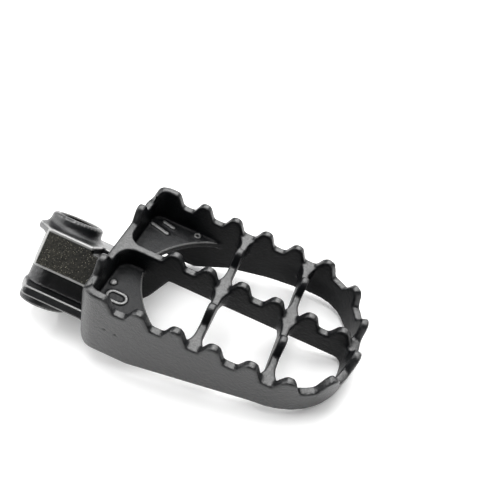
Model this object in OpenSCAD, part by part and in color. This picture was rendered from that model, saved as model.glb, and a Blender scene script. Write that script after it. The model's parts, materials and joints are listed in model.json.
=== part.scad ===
// Folding foot peg for an off-road motorcycle, left-hand piece of a mirrored pair.
// A toothed cage platform is cast in one with a leaning hinge lug.
// Millimetres, +Z up. The origin is the centre of the hinge bore. +X runs towards the tip.
// The peg is drawn lying on a floor, on the foot of its lug and the nose of its platform.

/* [Platform] */
// Width over the two side rails
platform_w = 56; // [52:0.5:60]
// Thickness of the rails and of the end wall
rail_t = 3; // [2.6:0.1:3.4]
// Depth of the front rail below the valleys, beside the hinge
rail_depth = 25; // [23:0.1:26]
// Depth of the rear rail below the valleys, beside the hinge
rear_depth = 28; // [25.5:0.1:28.5]
// Depth of the platform below the valleys, at the nose
nose_depth = 9.3; // [8:0.1:11]
// Outer radius of the two corners beside the hinge
corner_r = 7; // [5:0.5:9]
// Outer radius of the two shoulders of the tip
shoulder_r = 23.5; // [22:0.5:24]
// Distance from the inner cross bar to the outer face of the end wall
end_reach = 39.4; // [39:0.1:41]
// Distance from the inner cross bar to the tangent line of the shoulders
shoulder_reach = 26.4; // [26.2:0.1:26.5]

/* [Teeth] */
// Spacing of the teeth along the rails and the rib
tooth_pitch = 12.3; // [12:0.1:12.5]
// Height of a tooth above the valleys
tooth_h = 5.4; // [4:0.1:6]
// Width of a tooth at its foot
tooth_w = 8.3; // [7.5:0.1:9]
// Radius of the rounded crest of a tooth
crest_r = 2.6; // [1.5:0.1:2.8]

/* [Rib, bars and webs] */
// Thickness of the centre rib
rib_t = 2.9; // [2.6:0.1:4]
// Depth of the centre rib below the valleys
rib_depth = 8.6; // [8:0.1:9]
// Thickness of the cross bars
bar_t = 2.8; // [2.4:0.1:4]
// Depth of the cross bars below the valleys
bar_depth = 7; // [5:0.1:8]
// How far a bar widens on each side where it meets the rib or a rail
flare_w = 1.7; // [1:0.1:2]
// Length of the stretch that a bar widens over
flare_l = 5; // [3:0.1:6]
// Radius of the fillets where the rib meets the end wall
rib_fillet = 5; // [3:0.1:6]
// Radius of the fillets where the rib meets the nose
nose_fillet = 3.2; // [2:0.1:4]
// Depth of the top of the two webs below the valleys
web_drop = 8; // [7.5:0.1:8]
// Thickness of the two webs
web_t = 3; // [2:0.1:4]
// Radius of the hollow free edge of the webs
web_edge_r = 34.3; // [33:0.1:35]

/* [Hinge lug] */
// Lean of the hinge axis away from upright, across the platform
hinge_lean = 46; // [44:0.5:48]
// Distance from the hinge axis to the inner cross bar, along the platform
hinge_reach = 59.7; // [59:0.1:62]
// Sideways distance from the hinge centre to the centre rib
hinge_side = 1.8; // [0:0.1:3]
// Height of the valleys above the hinge centre
hinge_drop = 24; // [23.5:0.1:24.5]
// Half the length of the whole hinge barrel
barrel_half = 17; // [16.8:0.1:18]
// Outer radius of the upper boss
upper_boss_r = 9.6; // [9:0.1:10]
// Outer radius of the lower boss
lower_boss_r = 9.2; // [8.8:0.1:9.6]
// Distance from the hinge axis to the flat front face of the lug
lug_front = 16.3; // [16:0.1:17]
// Radius of the hole for the return spring's hook
hook_hole_r = 1.2; // [0.8:0.1:1.5]

/* [Pivot bush] */
// Inner radius of the bush, a sliding fit on a 12 mm pin
bush_in_r = 6.1; // [6:0.05:6.4]
// Outer radius of the bush
bush_out_r = 7.1; // [7:0.05:7.3]
// Radial running clearance between the bush and the lug
bush_gap = 0.05; // [0.01:0.01:0.1]
// Half the length of the bush
bush_half = 16.2; // [15:0.1:16.8]

/* [Pose] */
// Slope of the platform when the peg lies on a floor
rest_tilt = 16.8; // [15:0.1:18]

/* [Hidden] */
$fn = 64;

cast_black = [0.16, 0.16, 0.17];
bright_steel = [0.72, 0.71, 0.68];

half_w = platform_w / 2;
rail_in = half_w - rail_t;
end_in = end_reach - rail_t;
corner_x = corner_r - end_reach;
corner_y = half_w - corner_r;
shoulder_y = half_w - shoulder_r;
shoulder_mid = shoulder_r - rail_t / 2;
nose_out = shoulder_reach + shoulder_r;
nose_in = nose_out - rail_t;
half_rib = rib_t / 2;

// The rails' lower edge leaves the level, climbs to the bars and flattens towards the nose
level_end = -19.5;
rear_level_end = -16.5;
rear_slope_end = -3;
slope_end = [22, 3.7];
shoulder_end = [34, 1.5];
corner_round = 5;

// Crests along the rails, then around the tip as distances from the shoulder's tangent line
crest_xs = [-1.5 * tooth_pitch, -0.5 * tooth_pitch, 0.5 * tooth_pitch, 1.5 * tooth_pitch];
shoulder_crest = 2.5 * tooth_pitch;
corner_crest = -2.5 * tooth_pitch;
nose_path = shoulder_mid * 90 * PI / 180 + shoulder_y;
tip_pitch = (nose_path - (shoulder_crest - shoulder_reach)) / 2.5;
nose_crest_y = tip_pitch / 2;
end_crest_y = 13.2;
corner_turn = 26;

// Heights of the lug's layers along the hinge axis
boss_top = barrel_half - 0.15;
plate_top = 11.8;
block_top = 9.2;
block_foot = -2;
hub_foot = -9.4;
plate_foot = -12.7;
wall_x = hinge_reach - end_reach;
lug_bore_r = bush_out_r + bush_gap;

// ---- Placing ------------------------------------------------------------------------

module on_platform() {
    rotate([0, rest_tilt, 0])
        translate([hinge_reach, hinge_side, hinge_drop])
            children();
}

module on_hinge() {
    rotate([0, rest_tilt, 0])
        rotate([-hinge_lean, 0, 0])
            children();
}

// A 2D outline drawn in X and Z, made solid between two values of Y
module along_y(from, to) {
    translate([0, to, 0])
        rotate([90, 0, 0])
            linear_extrude(to - from)
                children();
}

// A 2D outline drawn in Y and Z, made solid between two values of X
module along_x(from, to) {
    translate([from, 0, 0])
        rotate([90, 0, 90])
            linear_extrude(to - from)
                children();
}

// A 2D outline drawn in X and Y, made solid between two heights
module between(from, to) {
    translate([0, 0, from])
        linear_extrude(to - from)
            children();
}

// ---- Shared outlines ----------------------------------------------------------------

// One tooth, standing on the valley line, with its foot sunk into the metal below
module tooth() {
    foot = tooth_w / 2;
    crest_z = tooth_h - crest_r;
    reach = norm([foot, crest_z]);
    side = acos(crest_r / reach) - atan2(crest_z, foot);
    touch = [crest_r * cos(side), crest_z + crest_r * sin(side)];
    polygon([
        [-foot, -1], [foot, -1], [foot, 0], touch,
        [-touch[0], touch[1]], [-foot, 0]
    ]);
    translate([0, crest_z])
        circle(crest_r);
}

// The space above the valley between two crests that stand at plus and minus half,
// and above those crests as far as over
module valley(half, over = 0) {
    difference() {
        translate([-half - over, 0])
            square([2 * (half + over), tooth_h + 2]);
        translate([-half, 0])
            tooth();
        translate([half, 0])
            tooth();
    }
}

// The space above the valley on the left of a crest that stands at 0
module slope_space(reach) {
    difference() {
        translate([-reach, 0])
            square([reach, tooth_h + 2]);
        translate([0, -0.05])
            tooth();
    }
}

// Two circles and the band that spans them
module link(a, ra, b, rb) {
    hull() {
        translate(a)
            circle(ra, $fn = 32);
        translate(b)
            circle(rb, $fn = 32);
    }
}

// The concave corner left when a quarter disc is taken out of a square
module fillet(r) {
    difference() {
        square(r);
        translate([r, r])
            circle(r);
    }
}

// The hollow-sided wedge that widens the end of a bar
module flare() {
    r = (pow(flare_l, 2) + pow(flare_w, 2)) / (2 * flare_w);
    difference() {
        square([flare_w, flare_l]);
        translate([r, flare_l])
            circle(r);
    }
}

// How deep the lower edge lies where the steeper slope of the rear rail meets the common one
climb = (rail_depth - nose_depth - slope_end[1]) / (slope_end[0] - level_end);
rear_slope_z = -rail_depth + climb * (rear_slope_end - level_end);

// What the rear rail has below the common side view
module rear_keel() {
    polygon([
        [-end_reach, -rail_depth + corner_round + 1], [-end_reach, corner_round - rear_depth],
        [corner_round - end_reach, -rear_depth], [rear_level_end, -rear_depth],
        [rear_slope_end, rear_slope_z], [rear_slope_end, rear_slope_z + 1]
    ]);
    translate([corner_round - end_reach, corner_round - rear_depth])
        circle(corner_round);
}

// Side view of the platform below the valleys, rounded at the hinge end
module side_view(top) {
    polygon([
        [-end_reach, top], [-end_reach, corner_round - rail_depth],
        [corner_round - end_reach, -rail_depth], [level_end, -rail_depth],
        [slope_end[0], -nose_depth - slope_end[1]],
        [shoulder_end[0], -nose_depth - shoulder_end[1]],
        [nose_out + 1, -nose_depth], [nose_out + 1, top]
    ]);
    translate([corner_round - end_reach, corner_round - rail_depth])
        circle(corner_round);
}

// ---- Platform -----------------------------------------------------------------------

// The rail in front of the centre rib, with its corner. The rear one is mirrored from it.
module rail_solid(rear) {
    difference() {
        intersection() {
            between(-rear_depth - 1, tooth_h + 1) {
                translate([corner_x, -half_w])
                    square([shoulder_reach - corner_x, rail_t]);
                translate([corner_x, -corner_y])
                    intersection() {
                        difference() {
                            circle(corner_r);
                            circle(corner_r - rail_t);
                        }
                        translate([-corner_r - 1, -corner_r - 1])
                            square(corner_r + 1);
                    }
            }
            along_y(-half_w - 1, 0) {
                side_view(0);
                if (rear)
                    rear_keel();
                translate([-end_reach, -1])
                    square([end_reach + corner_crest, tooth_h + 1]);
                translate([corner_crest, 0])
                    tooth();
                for (x = crest_xs)
                    translate([x, 0])
                        tooth();
            }
        }
        translate([corner_x, -corner_y, 0])
            rotate([0, 0, -corner_turn])
                along_y(-corner_r - 2, -corner_r + rail_t + 1)
                    slope_space(corner_r + 1);
        along_x(-end_reach - 1, corner_x - 1)
            translate([-end_crest_y, 0])
                slope_space(corner_y + 1 - end_crest_y);
    }
}

module front_rail() {
    color(cast_black)
        on_platform()
            rail_solid(false);
}

module rear_rail() {
    color(cast_black)
        on_platform()
            mirror([0, 1, 0])
                rail_solid(true);
}

// Half of the tip's outline, in front of the centre line
module tip_outline() {
    translate([shoulder_reach, -shoulder_y])
        intersection() {
            difference() {
                circle(shoulder_r);
                circle(shoulder_r - rail_t);
            }
            translate([0, -shoulder_r - 1])
                square(shoulder_r + 1);
        }
    translate([nose_in, -shoulder_y])
        square([rail_t, shoulder_y]);
}

// The valleys of the shoulder in front, each cut straight towards the shoulder's centre
module shoulder_valleys() {
    first = shoulder_crest - shoulder_reach + tip_pitch / 2;
    for (path = [first, first + tip_pitch])
        translate([shoulder_reach, -shoulder_y, 0])
            rotate([0, 0, path / shoulder_mid * 180 / PI])
                along_y(-shoulder_r - 2, -shoulder_r + rail_t + 2)
                    valley(tip_pitch / 2, 1);
    along_y(-half_w - 1, -rail_in + 1)
        translate([shoulder_crest - tooth_pitch / 2, 0])
            valley(tooth_pitch / 2, 1);
}

module tip_rail() {
    color(cast_black)
        on_platform()
            difference() {
                intersection() {
                    between(-rail_depth, tooth_h + 1) {
                        tip_outline();
                        mirror([0, 1])
                            tip_outline();
                    }
                    along_y(-half_w - 1, half_w + 1)
                        side_view(tooth_h + 2);
                }
                shoulder_valleys();
                mirror([0, 1, 0])
                    shoulder_valleys();
                along_x(nose_in - 1, nose_out + 1)
                    valley(nose_crest_y, 1);
            }
}

// The wall across the hinge end. Its foot drops below the rails to carry the lug.
module end_wall() {
    color(cast_black)
        on_platform()
            along_x(-end_reach, -end_in) {
                polygon([
                    [-corner_y, 0], [-corner_y, -rail_depth], [-18, -rail_depth],
                    [-8, -34.4], [-3, -34.4], [6, -33.4],
                    [14, -rear_depth], [corner_y, -rear_depth], [corner_y, 0]
                ]);
                for (side = [-1, 1])
                    translate([side * end_crest_y, 0])
                        tooth();
            }
}

// The rib from the end wall to the nose, deep at its root and filleted at both ends
module centre_rib() {
    rib_crests = concat(crest_xs, [shoulder_crest, nose_in - tooth_w / 2 - 0.4]);
    color(cast_black)
        on_platform() {
            along_y(-half_rib, half_rib) {
                polygon([
                    [-end_in, 0], [-end_in, -32], [-27, -26], [-24.2, -21.5],
                    [-18.4, -rib_depth], [nose_in, -rib_depth], [nose_in, 0]
                ]);
                for (x = rib_crests)
                    translate([x, 0])
                        tooth();
            }
            for (side = [0, 1])
                mirror([0, side, 0]) {
                    between(-web_drop, 0)
                        translate([-end_in, half_rib])
                            fillet(rib_fillet);
                    between(-rib_depth, 0)
                        translate([nose_in, half_rib])
                            mirror([1, 0])
                                fillet(nose_fillet);
                }
        }
}

// Half a cross bar, from the rib to the rear rail, with one tooth halfway
module half_bar(x) {
    mid = (half_rib + rail_in) / 2;
    translate([x, 0, 0]) {
        between(-bar_depth, 0) {
            translate([-bar_t / 2, half_rib])
                square([bar_t, rail_in - half_rib]);
            for (side = [0, 1])
                mirror([side, 0]) {
                    translate([bar_t / 2, half_rib])
                        flare();
                    translate([bar_t / 2, rail_in])
                        mirror([0, 1])
                            flare();
                }
        }
        along_x(-bar_t / 2, bar_t / 2)
            translate([mid, 0])
                tooth();
    }
}

module inner_bar_front() {
    color(cast_black)
        on_platform()
            mirror([0, 1, 0])
                half_bar(0);
}

module inner_bar_rear() {
    color(cast_black)
        on_platform()
            half_bar(0);
}

module outer_bar_front() {
    color(cast_black)
        on_platform()
            mirror([0, 1, 0])
                half_bar(2 * tooth_pitch);
}

module outer_bar_rear() {
    color(cast_black)
        on_platform()
            half_bar(2 * tooth_pitch);
}

// The web between the end wall, the rear rail and the rib, with a hollow free edge
module web_solid(edge_x) {
    between(-web_drop - web_t, -web_drop)
        difference() {
            union() {
                translate([-end_in, half_rib])
                    square([end_in - 3, corner_y - half_rib]);
                translate([corner_x, half_rib])
                    square([-corner_x - 3, rail_in - half_rib]);
                translate([corner_x, corner_y])
                    circle(corner_r - rail_t);
            }
            translate([edge_x, -7.2])
                circle(web_edge_r);
        }
}

// A raised oval ring and a dot stand where the casting carries its mark
module front_web() {
    color(cast_black)
        on_platform() {
            mirror([0, 1, 0])
                web_solid(5.4);
            translate([-30.4, -16.5, 0])
                between(-web_drop - 0.5, -web_drop + 0.6)
                    difference() {
                        link([-1.4, 0], 2.3, [1.4, 0], 2.3);
                        link([-1.4, 0], 1.5, [1.4, 0], 1.5);
                    }
            translate([-34.2, -11.6, -web_drop - 0.5])
                cylinder(r = 1.1, h = 1.2);
        }
}

// Two raised strokes and a small ring stand where the casting carries its mark
module rear_web() {
    color(cast_black)
        on_platform() {
            web_solid(4);
            between(-web_drop - 0.5, -web_drop + 0.6) {
                link([-35.2, 19.6], 0.6, [-28.2, 17.8], 0.6);
                link([-31.6, 22.6], 0.6, [-27.4, 21.6], 0.6);
                translate([-18, 23])
                    difference() {
                        circle(1.3);
                        circle(0.7);
                    }
            }
        }
}

// ---- Hinge lug ----------------------------------------------------------------------

// Front corner of the lug, on the side away from the platform
lug_corner = [-1.6, 2 - lug_front];
// Where the upper plate stops short of the end wall
plate_stop = [14.1, -5];

module upper_plate() {
    ear = [-11.3, 17.1];
    color(cast_black)
        on_hinge()
            difference() {
                between(block_top, plate_top) {
                    link([0, 0], 12.4, lug_corner, 2);
                    link([0, 0], 12.4, ear, 3.1);
                    polygon([
                        [lug_corner[0], -lug_front], [plate_stop[0], -lug_front],
                        plate_stop, [wall_x, plate_stop[1]], [wall_x, 15], [-5, 15],
                        [0, 0], lug_corner
                    ]);
                }
                translate([0, 0, block_top - 1])
                    cylinder(r = lug_bore_r, h = 5);
                translate([ear[0] - 0.7, ear[1] + 0.3, block_top - 1])
                    cylinder(r = hook_hole_r, h = 5);
                translate([-4.8, 17.5, block_top - 1])
                    cylinder(r = 2.4, h = 5);
            }
}

module lug_block() {
    color(cast_black)
        on_hinge()
            difference() {
                between(block_foot, block_top) {
                    link([0, 0], 9.3, lug_corner, 2);
                    polygon([
                        [lug_corner[0], -lug_front], [wall_x, -lug_front],
                        [wall_x, 9.1], [0, 9.1], lug_corner
                    ]);
                }
                translate([0, 0, block_foot - 1])
                    cylinder(r = lug_bore_r, h = block_top - block_foot + 2);
            }
}

// The necked stretch of the barrel that the return spring coils around
module spring_hub() {
    color(cast_black)
        on_hinge()
            difference() {
                between(hub_foot, block_foot) {
                    circle(9);
                    polygon([[0, -8.9], [wall_x, -8.9], [wall_x, 3.5], [0, 8.7]]);
                }
                translate([0, 0, hub_foot - 1])
                    cylinder(r = lug_bore_r, h = block_foot - hub_foot + 2);
            }
}

module lower_plate() {
    color(cast_black)
        on_hinge()
            difference() {
                between(plate_foot, hub_foot) {
                    link([0, 0], 9.8, lug_corner, 2);
                    polygon([
                        [lug_corner[0], -lug_front], [wall_x, -lug_front],
                        [wall_x, 2.5], [0, 9.4], lug_corner
                    ]);
                }
                translate([0, 0, plate_foot - 1])
                    cylinder(r = lug_bore_r, h = 5);
            }
}

// A turned boss around the bore, spread at its foot and chamfered on its outer end
module boss(r, from, to, foot, edge) {
    up = sign(to);
    rotate_extrude()
        polygon([
            [lug_bore_r, from], [r + foot, from], [r + foot / 3, from + up * foot / 3],
            [r, from + up * foot], [r, to - up * edge], [r - edge, to], [lug_bore_r, to]
        ]);
}

module upper_boss() {
    color(cast_black)
        on_hinge()
            boss(upper_boss_r, plate_top, boss_top, 2.1, 0.8);
}

module lower_boss() {
    color(cast_black)
        on_hinge()
            boss(lower_boss_r, plate_foot, -barrel_half, 0.5, 0.6);
}

// The bright steel sleeve that the peg swings on
module pivot_bush() {
    color(bright_steel)
        on_hinge()
            difference() {
                translate([0, 0, -bush_half])
                    cylinder(r = bush_out_r, h = 2 * bush_half);
                translate([0, 0, -bush_half - 1])
                    cylinder(r = bush_in_r, h = 2 * bush_half + 2);
            }
}

front_rail();
rear_rail();
tip_rail();
end_wall();
centre_rib();
inner_bar_front();
inner_bar_rear();
outer_bar_front();
outer_bar_rear();
front_web();
rear_web();
lug_block();
spring_hub();
upper_plate();
lower_plate();
upper_boss();
lower_boss();
pivot_bush();
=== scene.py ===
import json
import math

import bmesh
import bpy
import numpy as np
from mathutils import Matrix, Vector, noise
from mathutils.kdtree import KDTree


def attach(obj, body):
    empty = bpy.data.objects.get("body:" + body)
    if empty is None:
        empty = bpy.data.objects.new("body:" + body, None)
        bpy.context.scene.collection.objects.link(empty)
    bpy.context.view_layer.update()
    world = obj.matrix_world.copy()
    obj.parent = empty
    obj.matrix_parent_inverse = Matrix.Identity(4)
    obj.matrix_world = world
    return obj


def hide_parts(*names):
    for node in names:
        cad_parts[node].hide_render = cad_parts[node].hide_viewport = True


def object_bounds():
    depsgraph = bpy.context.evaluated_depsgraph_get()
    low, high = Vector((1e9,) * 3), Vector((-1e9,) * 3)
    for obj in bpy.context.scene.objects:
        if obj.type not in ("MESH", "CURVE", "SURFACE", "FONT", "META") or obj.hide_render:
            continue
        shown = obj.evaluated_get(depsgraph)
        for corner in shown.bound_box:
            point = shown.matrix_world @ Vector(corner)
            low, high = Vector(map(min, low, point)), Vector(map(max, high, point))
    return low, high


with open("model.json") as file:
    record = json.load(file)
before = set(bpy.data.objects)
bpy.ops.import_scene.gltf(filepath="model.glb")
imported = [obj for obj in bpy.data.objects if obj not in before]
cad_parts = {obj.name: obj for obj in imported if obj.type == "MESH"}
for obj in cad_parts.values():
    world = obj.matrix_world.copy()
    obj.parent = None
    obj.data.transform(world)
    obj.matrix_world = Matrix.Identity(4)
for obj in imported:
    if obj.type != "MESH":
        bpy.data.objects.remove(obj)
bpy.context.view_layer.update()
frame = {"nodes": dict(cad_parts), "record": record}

mm = 0.001

# ---- The two working frames ---------------------------------------------------------

hinge_axis = Vector(frame["record"]["behaviour"]["joints"][0]["axis"]).normalized()
lean = math.asin(hinge_axis.y)
rest_tilt = math.atan2(hinge_axis.x, hinge_axis.z)
hinge_reach, hinge_side, hinge_drop = 59.7 * mm, 1.8 * mm, 24 * mm

on_lug = Matrix.Rotation(rest_tilt, 4, "Y") @ Matrix.Rotation(-lean, 4, "X")
on_platform = Matrix.Rotation(rest_tilt, 4, "Y") @ Matrix.Translation(
    (hinge_reach, hinge_side, hinge_drop)
)


# ---- Camera -------------------------------------------------------------------------


def studio_camera():
    """A camera above the front rail, turned and raised about the platform."""
    turn, rise, roll = (math.radians(v) for v in (3.27, 46.82, -21.76))
    across, up_shift, distance = 8.84 * mm, 12.43 * mm, 182.06 * mm
    right = Vector((math.cos(turn), math.sin(turn), 0))
    back = Vector(
        (math.sin(turn) * math.cos(rise), -math.cos(turn) * math.cos(rise), math.sin(rise))
    )
    up = back.cross(right)
    side = right * math.cos(roll) - up * math.sin(roll)
    top = right * math.sin(roll) + up * math.cos(roll)
    place = Matrix((side, top, back)).transposed().to_4x4()
    place.translation = side * across + top * up_shift + back * distance
    data = bpy.data.cameras.new("studio_camera")
    data.sensor_width = 36
    data.lens = 38.9
    data.clip_start = 0.01
    camera = bpy.data.objects.new("studio_camera", data)
    camera.matrix_world = on_platform @ place
    bpy.context.scene.collection.objects.link(camera)
    bpy.context.scene.camera = camera


studio_camera()


# ---- Finishes -----------------------------------------------------------------------


class Wire:
    """A shader output that can be used in arithmetic. Each sign adds a Math node."""

    def __init__(self, finish, socket):
        self.finish, self.socket = finish, socket

    def worked_out(self, sign, a, b):
        return self.finish.node("ShaderNodeMath", {"operation": sign}, {0: a, 1: b})

    def __add__(self, other):
        return self.worked_out("ADD", self, other)

    def __radd__(self, other):
        return self.worked_out("ADD", other, self)

    def __mul__(self, other):
        return self.worked_out("MULTIPLY", self, other)

    def __rmul__(self, other):
        return self.worked_out("MULTIPLY", other, self)


class Finish:
    """One material, built up node by node."""

    def __init__(self, name):
        self.material = bpy.data.materials.new(name)
        self.material.use_nodes = True
        self.tree = self.material.node_tree
        self.tree.nodes.clear()

    def node(self, kind, settings=None, sockets=None, out=0):
        made = self.tree.nodes.new(kind)
        for key, value in (settings or {}).items():
            if key == "stops":
                ramp = made.color_ramp.elements
                while len(ramp) < len(value):
                    ramp.new(0.5)
                for element, (where, shade) in zip(ramp, value):
                    element.position = where
                    element.color = (shade, shade, shade, 1)
            else:
                setattr(made, key, value)
        for key, value in (sockets or {}).items():
            if isinstance(value, Wire):
                self.tree.links.new(value.socket, made.inputs[key])
            else:
                made.inputs[key].default_value = value
        return Wire(self, made.outputs[out]) if made.outputs else None

    def millimetres(self):
        """Where on the piece, at rest, in millimetres."""
        place = self.node("ShaderNodeTexCoord", out="Object")
        return self.node(
            "ShaderNodeVectorMath", {"operation": "SCALE"}, {0: place, "Scale": 1000.0}
        )

    def along(self, place, way):
        """How far place lies along a direction."""
        return self.node(
            "ShaderNodeVectorMath", {"operation": "DOT_PRODUCT"}, {0: place, 1: way}, out="Value"
        )

    def grain(self, place, per_mm, detail=3.0, rough=0.55):
        """Noise between 0 and 1 with so many lumps a millimetre."""
        return self.node(
            "ShaderNodeTexNoise",
            None,
            {"Vector": place, "Scale": per_mm, "Detail": detail, "Roughness": rough},
        )

    def ramp(self, value, *stops):
        return self.node("ShaderNodeValToRGB", {"stops": stops}, {"Fac": value})

    def blend(self, share, a, b):
        """Colour a at share 0, colour b at share 1."""
        return self.node(
            "ShaderNodeMix", {"data_type": "RGBA"}, {0: share, 6: a, 7: b}, out=2
        )

    def kept_value(self, name):
        """A value that the mesh keeps for each of its points."""
        return self.node("ShaderNodeAttribute", {"attribute_name": name}, None, out="Fac")

    def relief(self, height, depth, distance, under=None):
        """A normal that carries height."""
        sockets = {"Strength": depth, "Distance": distance, "Height": height}
        if under is not None:
            sockets["Normal"] = under
        return self.node("ShaderNodeBump", None, sockets)

    def surface(self, **sockets):
        """One principled surface. Names are the shader's own with _ for spaces."""
        return self.node(
            "ShaderNodeBsdfPrincipled",
            None,
            {key.replace("_", " "): value for key, value in sockets.items()},
        )

    def done(self, body):
        self.node("ShaderNodeOutputMaterial", None, {"Surface": body})
        return self.material


def coat_colour(f, place, fine):
    """Black coat with a slow drift and a little dust in its grain."""
    drift = f.grain(place, 0.07, 2.0)
    coat = f.blend(drift, (0.0024, 0.0029, 0.0038, 1), (0.0047, 0.0052, 0.006, 1))
    dusty = f.ramp(fine, (0.56, 0.0), (0.75, 1.0)) * 0.4
    return f.blend(dusty, coat, (0.02, 0.02, 0.02, 1))


def wear_and_sheen_share(f, place, fine):
    """Where hands and boots have rubbed the coat bright, in mottled patches along edges, and where
    a painted highlight brightens the platform's tops.
    """
    patches = f.grain(place, 1.1, 3.0, 0.65)
    share = f.kept_value("edge") * (0.35 + 0.75 * fine + 0.55 * patches)
    return f.ramp(share, (0.4, 0.0), (0.95, 1.0))


def black_coat():
    """Satin black coat over shot-blasted cast steel, rubbed thin along the edges, with a painted
    highlight on the platform's tops.

    Inside the cage a duller copy of the coat is mixed in as painted shade.
    """
    f = Finish("satin_black_coat")
    place = f.millimetres()
    sheltered = f.kept_value("sheltered")
    fine = f.grain(place, 2.6, 4.0, 0.6)
    skin = f.grain(place, 0.9, 3.0)
    wear_and_sheen = wear_and_sheen_share(f, place, fine)
    # The lighter rubbed colour and its metal sheen are partly wear, partly painted highlight on the
    # tops and along the webs' upper edge.
    colour = f.blend(wear_and_sheen, coat_colour(f, place, fine), (0.2, 0.2, 0.198, 1))
    normal = f.relief(skin, 0.45, 0.00035)
    normal = f.relief(fine, 0.7, 0.00018, normal)
    open_coat = f.surface(
        Base_Color=colour,
        Metallic=0.4 * wear_and_sheen,
        Roughness=0.24 + 0.12 * fine,
        IOR=1.52,
        Normal=normal,
    )
    # Painted shade: a duller, less reflective copy of the coat, mixed in on the faces inside the
    # cage.
    shaded_coat = f.surface(
        Base_Color=colour,
        Metallic=0.2 * wear_and_sheen,
        Roughness=0.3 + 0.12 * fine,
        IOR=1.235,
        Normal=normal,
    )
    return f.done(f.node("ShaderNodeMixShader", None, {0: sheltered, 1: open_coat, 2: shaded_coat}))


def rough_skin():
    """The same coat where the lug was left as cast, with its open grain and bright specks painted
    on as glints.
    """
    f = Finish("rough_cast_face")
    place = f.millimetres()
    face = f.kept_value("rough")
    sand = f.grain(place, 1.5, 5.0, 0.68)
    fine = f.grain(place, 3.2, 3.0, 0.6)
    drift = f.grain(place, 0.16, 2.0)
    # Painted glints: small bright specks in the colour of the open grain.
    cells = f.node(
        "ShaderNodeTexVoronoi", None, {"Vector": place, "Scale": 1.5, "Randomness": 1.0}
    )
    painted_glints = f.ramp(cells, (0.06, 1.0), (0.26, 0.0)) * f.ramp(fine, (0.4, 0.0), (0.58, 1.0))
    wear_and_sheen = wear_and_sheen_share(f, place, fine)
    smooth = f.blend(wear_and_sheen, coat_colour(f, place, fine), (0.3, 0.3, 0.295, 1))
    # Painted shade: the pits darken towards the end wall, which shades that end of the face.
    along = f.along(place, tuple(on_lug.col[0][:3]))
    lit = f.ramp(along * 0.05, (0.1, 1.0), (0.85, 0.4))
    pits = f.ramp(sand * 0.75 + 0.25 * drift, (0.38, 0.0), (0.62, 1.0)) * lit
    raw = f.blend(pits, (0.002, 0.002, 0.0012, 1), (0.032, 0.03, 0.021, 1))
    raw = f.blend(painted_glints, raw, (0.42, 0.4, 0.31, 1))
    satin = f.surface(
        Base_Color=smooth,
        Metallic=0.42 * wear_and_sheen,
        Roughness=0.26 + 0.12 * fine,
        IOR=1.52,
        Normal=f.relief(fine, 0.45, 0.00012),
    )
    grain = f.relief(fine, 0.6, 0.0002, f.relief(sand, 1.0, 0.0008))
    open_grain = f.surface(
        Base_Color=raw, Roughness=0.5 + 0.2 * fine, IOR=1.34, Normal=grain
    )
    return f.done(f.node("ShaderNodeMixShader", None, {0: face, 1: satin, 2: open_grain}))


def turned_steel():
    """Turned steel under a film of dark oil, with fine rings round the bore."""
    f = Finish("turned_steel")
    place = f.millimetres()
    along = f.along(place, tuple(hinge_axis))
    stain = f.grain(place, 0.22, 3.0)
    fine = f.grain(place, 3.0, 3.0)
    rings = f.node("ShaderNodeMath", {"operation": "SINE"}, {0: along * 21.0 + 2.4 * fine})
    colour = f.blend(
        f.ramp(stain, (0.4, 0.0), (0.7, 1.0)), (0.07, 0.068, 0.064, 1), (0.025, 0.023, 0.02, 1)
    )
    body = f.surface(
        Base_Color=colour,
        Metallic=1.0,
        Roughness=0.3 + 0.14 * stain + 0.08 * fine,
        Normal=f.relief(rings, 0.25, 0.00004),
    )
    return f.done(body)


def floor_paper():
    """White sweep paper that gives off a little light, so that shadows stay pale."""
    f = Finish("pale_floor_paper")
    place = f.millimetres()
    fibre = f.grain(place, 0.8, 3.0)
    body = f.surface(
        Base_Color=f.blend(fibre, (0.86, 0.86, 0.86, 1), (0.9, 0.9, 0.895, 1)),
        Roughness=0.75,
        Specular_IOR_Level=0.2,
        Emission_Color=(1, 1, 1, 1),
        Emission_Strength=0.2,
    )
    return f.done(body)


# ---- The casting --------------------------------------------------------------------

voxel = 0.34 * mm
wall_back, wall_front = -39.6, -36.2  # the cuts on the two sides of the end wall, mm
web_top = -8 * mm
rough_sink, rough_grain = 0.3 * mm, 0.16 * mm
dents = ((-28.4, -9.7, 0.4), (-24.6, -10.0, 0.34))  # along, height and depth, mm
tip_lean = 1.6  # mm
rough_low, rough_high = -2 * mm, 11.8 * mm
rough_left, rough_right = -3.6 * mm, 20.3 * mm
lug_front = -16.3 * mm
shoulder_x, shoulder_y, shoulder_r = 26.4 * mm, 4.5 * mm, 23.5 * mm


def settled(ob):
    """The mesh that ob's modifiers give, and ob removed."""
    graph = bpy.context.evaluated_depsgraph_get()
    mesh = bpy.data.meshes.new_from_object(ob.evaluated_get(graph), depsgraph=graph)
    bpy.data.objects.remove(ob)
    return mesh


def placed(name, mesh):
    ob = bpy.data.objects.new(name, mesh)
    bpy.context.scene.collection.objects.link(ob)
    return ob


def points_of(mesh):
    flat = np.empty(len(mesh.vertices) * 3, np.float32)
    mesh.vertices.foreach_get("co", flat)
    return flat.reshape(-1, 3).astype(float)


def normals_of(mesh):
    flat = np.empty(len(mesh.vertices) * 3, np.float32)
    mesh.vertex_normals.foreach_get("vector", flat)
    return flat.reshape(-1, 3).astype(float)


def seen_in(points, matrix):
    """Points of the row frame, as that working frame sees them."""
    back = np.array(matrix.inverted())
    return points @ back[:3, :3].T + back[:3, 3]


def upward(normals):
    """How squarely each normal looks up from the platform, 1 for straight up."""
    return normals @ np.array(on_platform.to_3x3() @ Vector((0, 0, 1)))


def step(value, low, high):
    """0 below low, 1 above high, and a smooth rise between them."""
    t = np.clip((value - low) / (high - low), 0, 1)
    return t * t * (3 - 2 * t)


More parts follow.
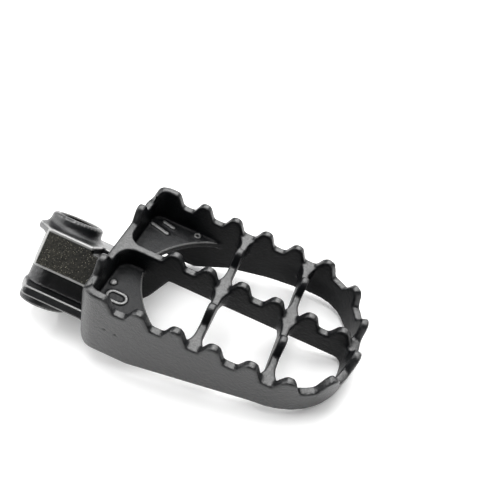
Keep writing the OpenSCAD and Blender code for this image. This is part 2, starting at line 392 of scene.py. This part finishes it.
def cast_skin(names):
    """One closed skin over the named members, with soft edges and fillets.

    It is made square to the platform, so that the platform's flat faces stay flat.
    """
    joined = bmesh.new()
    for name in names:
        joined.from_mesh(frame["nodes"][name].data)
    mesh = bpy.data.meshes.new("cast_rough")
    joined.to_mesh(mesh)
    joined.free()
    mesh.transform(on_platform.inverted())
    ob = placed("cast_rough", mesh)
    remesh = ob.modifiers.new("skin", "REMESH")
    remesh.mode = "VOXEL"
    remesh.voxel_size = voxel
    remesh.use_smooth_shade = True
    mesh = settled(ob)
    mesh.transform(on_platform)

    # The cast marks on the webs, and the mouths of the bore, keep more of their edges
    points = points_of(mesh)
    flat = seen_in(points, on_platform)
    lug = seen_in(points, on_lug)
    inside = (np.abs(flat[:, 1]) < 24.6 * mm) & (flat[:, 0] > -36 * mm) & (flat[:, 0] < -15 * mm)
    marks = inside & (flat[:, 2] > web_top + 0.1 * mm) & (flat[:, 2] < web_top + 0.9 * mm)
    bore = np.hypot(lug[:, 0], lug[:, 1]) < 8 * mm
    tops = (flat[:, 0] > wall_back * mm) & (flat[:, 2] > -1.6 * mm)
    weight = np.where(tops, 1.0, 0.7)
    weight[bore] = 0.3
    weight[marks] = 0.02
    ob = placed("cast_skin", mesh)
    group = ob.vertex_groups.new(name="soft")
    for level in np.unique(weight):
        group.add(np.nonzero(weight == level)[0].tolist(), float(level), "REPLACE")
    soften = ob.modifiers.new("soften", "SMOOTH")
    soften.factor = 0.5
    soften.iterations = 30
    soften.vertex_group = "soft"
    return settled(ob)


def edge_share(mesh):
    """How strongly each vertex stands on a convex edge, from 0 to 1."""
    points, normals = points_of(mesh), normals_of(mesh)
    ends = np.empty(len(mesh.edges) * 2, np.int64)
    mesh.edges.foreach_get("vertices", ends)
    a, b = ends.reshape(-1, 2).T
    total, count = np.zeros(len(points)), np.zeros(len(points))
    gap = points[b] - points[a]
    length = np.linalg.norm(gap, axis=1) + 1e-9
    bend = ((normals[b] - normals[a]) * gap).sum(1) / length**2
    for i in (a, b):
        np.add.at(total, i, bend)
        np.add.at(count, i, 1)
    bend = total / np.maximum(count, 1)
    for _ in range(2):
        total = np.zeros(len(points))
        np.add.at(total, a, bend[b])
        np.add.at(total, b, bend[a])
        bend = (bend + total / np.maximum(count, 1)) / 2
    return step(bend, 150, 620)


def rim_depth(points):
    """How far inside the outline of the block's rough front face each point lies."""
    lug = seen_in(points, on_lug)
    depth = np.minimum(lug[:, 0] - rough_left, 1.5 * (lug[:, 2] - rough_low))
    depth = np.minimum(depth, rough_high - lug[:, 2])
    front = 1 - step(lug[:, 1], lug_front + 0.8 * mm, lug_front + 1.4 * mm)
    return depth, front * (lug[:, 0] < rough_right)


def rough_share(points):
    """1 on the block's rough front face, falling to 0 at its smooth rounded rim."""
    depth, front = rim_depth(points)
    return step(depth, 0.9 * mm, 1.7 * mm) * front


def rim_share(points):
    """1 along the smooth rounded rim round the rough face."""
    depth, front = rim_depth(points)
    return step(depth, -0.7 * mm, 0.1 * mm) * (1 - step(depth, 0.8 * mm, 1.5 * mm)) * front


def top_share(points, normals):
    """1 on the upward faces of the platform above its webs."""
    flat = seen_in(points, on_platform)
    up = upward(normals)
    return step(up, 0.8, 0.99) * step(flat[:, 2], -1.2 * mm, -0.3 * mm) * (flat[:, 0] > -40 * mm)


def mark_share(points, normals):
    """1 on the raised cast marks of the webs."""
    flat = seen_in(points, on_platform)
    up = upward(normals)
    there = (np.abs(flat[:, 1]) < 24.4 * mm) & (flat[:, 0] > -36 * mm) & (flat[:, 0] < -15 * mm)
    there &= flat[:, 2] < web_top + 0.9 * mm
    there &= np.hypot(flat[:, 0] + 36.4 * mm, np.abs(flat[:, 1]) - 1.4 * mm) > 5.4 * mm
    return step(flat[:, 2], web_top + 0.25 * mm, web_top + 0.45 * mm) * step(up, 0.2, 0.7) * there


def web_edge_highlight_share(points, edges):
    """Painted highlight: 1 along the upper corner of the webs' free edge."""
    flat = seen_in(points, on_platform)
    there = (np.abs(flat[:, 1]) < 24.4 * mm) & (np.abs(flat[:, 1]) > 1.6 * mm)
    there &= (flat[:, 0] > -31 * mm) & (flat[:, 0] < -3 * mm)
    there &= (flat[:, 2] > web_top - 1.3 * mm) & (flat[:, 2] < web_top + 0.05 * mm)
    return step(edges, 0.25, 0.75) * there


def cage_shade_share(points, normals):
    """Painted shade: 1 inside the platform's cage, except on its upward tops."""
    flat = seen_in(points, on_platform)
    along = np.maximum(flat[:, 0] - shoulder_x, 0)
    across = np.abs(flat[:, 1]) - shoulder_y
    reach = np.where(along > 0, np.hypot(along, np.maximum(across, 0)), across)
    inside = 1 - step(reach, shoulder_r - 2.8 * mm, shoulder_r - 2.2 * mm)
    inside *= step(flat[:, 0], -37.2 * mm, -36.6 * mm)
    up = upward(normals)
    top = step(up, 0.45, 0.85) * step(flat[:, 2], -1.6 * mm, -0.5 * mm)
    web = step(up, 0.8, 0.95) * (flat[:, 2] < web_top + 1 * mm)
    return inside * (1 - top) * (1 - mark_share(points, normals)) * (1 - 0.2 * web)


def drafted(mesh):
    """The inner faces of the tip lean inwards towards their foot, as they left the mould."""
    points = points_of(mesh)
    flat = seen_in(points, on_platform)
    side = np.sign(flat[:, 1])
    along = flat[:, 0] - shoulder_x
    across = np.maximum(np.abs(flat[:, 1]) - shoulder_y, 0)
    round_part = along > 0
    reach = np.where(round_part, np.hypot(np.maximum(along, 0), across), across)
    inward = np.stack(
        [np.where(round_part, -along, 0), -side * across, np.zeros(len(points))], axis=1
    )
    inward /= np.maximum(reach, 1e-6)[:, None]
    depth = shoulder_r - reach
    share = np.clip(depth / (3 * mm), 0, 1) * (1 - step(depth, 3.4 * mm, 6 * mm))
    share *= step(flat[:, 0], 10 * mm, 27 * mm) * step(-flat[:, 2], 3 * mm, 11 * mm)
    share *= 1 - 0.95 * step(flat[:, 0], 30 * mm, 43 * mm)
    flat = flat + inward * (share * tip_lean * mm)[:, None]
    there = np.array(on_platform)
    points = flat @ there[:3, :3].T + there[:3, 3]
    mesh.vertices.foreach_set("co", points.astype(np.float32).ravel())
    mesh.update()
    return mesh


def worked(mesh):
    """Grain on the rough face and the small dents of the front rail, as real relief."""
    points, normals = points_of(mesh), normals_of(mesh)
    share = rough_share(points)
    shift = -rough_sink * share
    for i in np.nonzero(share > 0.02)[0]:
        at = Vector(points[i]) / mm
        lumps = noise.fractal(at * 1.1, 1.0, 2.0, 3)
        shift[i] += rough_grain * share[i] * lumps
    flat = seen_in(points, on_platform)
    face = step(-flat[:, 1], 27.2 * mm, 27.8 * mm)
    for x, z, deep in dents:
        away = np.hypot(flat[:, 0] - x * mm, (flat[:, 2] - z * mm) / 0.6)
        shift -= deep * mm * face * (1 - step(away, 0.15 * mm, 0.95 * mm))
    points += normals * shift[:, None]
    mesh.vertices.foreach_set("co", points.astype(np.float32).ravel())
    mesh.update()
    return mesh


def kept(mesh, name, values):
    """One value for each point of mesh, kept on it by name for the finishes."""
    layer = mesh.attributes.get(name) or mesh.attributes.new(name, "FLOAT", "POINT")
    layer.data.foreach_set("value", np.asarray(values, np.float32))


def cell(outline, low, high, matrix):
    """A closed prism: an outline in X and Y of a working frame, in millimetres, and two heights."""
    mesh = bmesh.new()
    base = [mesh.verts.new(matrix @ Vector((x * mm, y * mm, low * mm))) for x, y in outline]
    roof = [mesh.verts.new(matrix @ Vector((x * mm, y * mm, high * mm))) for x, y in outline]
    mesh.faces.new(base[::-1])
    mesh.faces.new(roof)
    for i in range(len(base)):
        j = (i + 1) % len(base)
        mesh.faces.new((base[i], base[j], roof[j], roof[i]))
    bmesh.ops.recalc_face_normals(mesh, faces=mesh.faces)
    data = bpy.data.meshes.new("cell")
    mesh.to_mesh(data)
    mesh.free()
    return data


def box(x0, y0, x1, y1):
    return [(x0, y0), (x1, y0), (x1, y1), (x0, y1)]


def cut(mesh, cutter, how):
    """The part of mesh inside the cutter, or outside it."""
    tool = placed("cutter", cutter)
    ob = placed("cut", mesh.copy())
    modifier = ob.modifiers.new("cut", "BOOLEAN")
    modifier.object = tool
    modifier.operation = how
    modifier.solver = "MANIFOLD"
    made = settled(ob)
    bpy.data.objects.remove(tool)
    return made


# Each member's share of the skin, in the order in which it is parted off. A cut along a
# flat face lies 0.2 mm beside it. The two side rails come last and take all that is left.
lug_room = box(-40, -40, 60, 40)
rib_outline = [
    (wall_front, -6.8), (-31, -6.8), (-31, -1.65), (46.7, -1.65),
    (46.7, 1.65), (-31, 1.65), (-31, 6.8), (wall_front, 6.8),
]
shares = [
    ("upper_boss", lug_room, 12.0, 40, on_lug),
    ("upper_plate", lug_room, 9.0, 12.0, on_lug),
    ("lug_block", lug_room, -2.2, 9.0, on_lug),
    ("spring_hub", lug_room, -9.2, -2.2, on_lug),
    ("lower_plate", lug_room, -12.9, -9.2, on_lug),
    ("lower_boss", lug_room, -40, -12.9, on_lug),
    ("end_wall", box(wall_back, -21, wall_front, 21), -60, 20, on_platform),
    ("front_web", box(wall_front, -24.8, -3, -1.65), -11.2, -7.2, on_platform),
    ("rear_web", box(wall_front, 1.65, -3, 24.8), -11.2, -7.2, on_platform),
    ("inner_bar_front", box(-3.5, -24.8, 3.5, -1.65), -20, 20, on_platform),
    ("inner_bar_rear", box(-3.5, 1.65, 3.5, 24.8), -20, 20, on_platform),
    ("outer_bar_front", box(21.1, -24.8, 28.1, -1.65), -20, 20, on_platform),
    ("outer_bar_rear", box(21.1, 1.65, 28.1, 24.8), -20, 20, on_platform),
    ("centre_rib", rib_outline, -60, 20, on_platform),
    ("tip_rail", box(26.4, -40, 60, 40), -60, 20, on_platform),
    ("front_rail", box(-45, -40, 40, 0), -60, 20, on_platform),
    ("rear_rail", box(-45, 0, 40, 40), -60, 20, on_platform),
]


def parted(skin):
    """The skin's share of every member. The lug is parted from the cage first."""
    behind = box(-120, -60, wall_back, 60)
    lug = cut(skin, cell(behind, -90, 60, on_platform), "INTERSECT")
    cage = cut(skin, cell(behind, -90, 60, on_platform), "DIFFERENCE")
    made = {}
    for name, outline, low, high, matrix in shares:
        whole = lug if matrix is on_lug else cage
        made[name] = cut(whole, cell(outline, low, high, matrix), "INTERSECT")
        if whole is cage:
            cage = cut(cage, cell(outline, low, high, matrix), "DIFFERENCE")
    return made


skin = worked(drafted(cast_skin([n for n in frame["nodes"] if n != "pivot_bush"])))
points, normals = points_of(skin), normals_of(skin)
on_cage = seen_in(points, on_platform)[:, 0] > wall_back * mm
edges = edge_share(skin)
# A painted highlight along the webs' upper edge, kept with the wear and lifted out of the painted
# shade.
web_edge_highlight = web_edge_highlight_share(points, edges)
wear_and_highlight = np.maximum(edges * np.where(on_cage, 0.4, 1.0), web_edge_highlight)
wear_and_highlight = np.maximum(wear_and_highlight, 1.3 * rim_share(points))
wear_and_highlight = np.maximum(wear_and_highlight, 0.9 * mark_share(points, normals))
traits = {
    # Partly wear and partly painted highlight: the tops are brightened against the webs.
    "edge": np.maximum(wear_and_highlight, 0.58 * top_share(points, normals)),
    "rough": rough_share(points),
    # Where the duller coat is mixed in as painted shade, inside the cage.
    "sheltered": cage_shade_share(points, normals) * (1 - web_edge_highlight),
}
nearest = KDTree(len(points))
for i, point in enumerate(points):
    nearest.insert(point, i)
nearest.balance()

coat, rough, steel = black_coat(), rough_skin(), turned_steel()
rough_members = ("lug_block", "upper_plate")  # the rough face runs on to the plate's rim
for name, mesh in parted(skin).items():
    found = np.array([nearest.find(v.co)[1] for v in mesh.vertices])
    for trait, values in traits.items():
        kept(mesh, trait, values[found])
    mesh.polygons.foreach_set("use_smooth", np.ones(len(mesh.polygons), bool))
    mesh.set_sharp_from_angle(angle=math.radians(52))
    mesh.materials.clear()
    mesh.materials.append(rough if name in rough_members else coat)
    mesh.polygons.foreach_set("material_index", np.zeros(len(mesh.polygons), np.int32))
    member = placed(name + "_cast", mesh)
    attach(member, "peg")
    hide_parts(name)

bush = frame["nodes"]["pivot_bush"]
bush.data.materials.clear()
bush.data.materials.append(steel)

# ---- Floor and light ----------------------------------------------------------------

low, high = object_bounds()
middle = (Vector(low) + Vector(high)) / 2


def sweep(reach, bend, wall, sides=96):
    """A round studio floor that turns up into a wall all round."""
    turns = [math.radians(6 * i) for i in range(16)]
    profile = [(reach * share, 0) for share in (0.02, 0.1, 0.3, 0.6, 1.0)]
    profile += [(reach + bend * math.sin(t), bend - bend * math.cos(t)) for t in turns[1:]]
    profile.append((reach + bend, wall))
    mesh = bmesh.new()
    rings = []
    for far, height in profile:
        rings.append(
            [
                mesh.verts.new((far * math.cos(turn), far * math.sin(turn), height))
                for turn in (2 * math.pi * i / sides for i in range(sides))
            ]
        )
    mesh.faces.new(rings[0])
    for inner, outer in zip(rings, rings[1:]):
        for i in range(sides):
            j = (i + 1) % sides
            mesh.faces.new((inner[i], outer[i], outer[j], inner[j])).smooth = True
    data = bpy.data.meshes.new("floor")
    mesh.to_mesh(data)
    mesh.free()
    return data


floor = placed("floor", sweep(4.5, 1.0, 2.6))
floor.location = (0.04, 0, low[2])
floor.data.materials.append(floor_paper())


def soft_lamp(name, turn, rise, distance, size, power):
    """A square softbox aimed at the peg."""
    data = bpy.data.lights.new(name, "AREA")
    data.energy = power
    data.size = size
    lamp = bpy.data.objects.new(name, data)
    turn, rise = math.radians(turn), math.radians(rise)
    way = Vector(
        (math.sin(turn) * math.cos(rise), math.cos(turn) * math.cos(rise), math.sin(rise))
    )
    lamp.location = middle + way * distance
    lamp.rotation_euler = way.to_track_quat("Z", "Y").to_euler()
    bpy.context.scene.collection.objects.link(lamp)


soft_lamp("back_softbox", 14, 40, 0.8, 0.5, 4)
soft_lamp("left_softbox", -95, 38, 0.7, 0.6, 5)
soft_lamp("top_softbox", 30, 76, 0.9, 0.8, 11)

world = bpy.data.worlds.new("studio")
world.use_nodes = True
sky = world.node_tree.nodes["Background"].inputs
sky["Color"].default_value = (1, 1, 1, 1)
sky["Strength"].default_value = 0.04
bpy.context.scene.world = world
bpy.context.scene.view_settings.view_transform = "Standard"
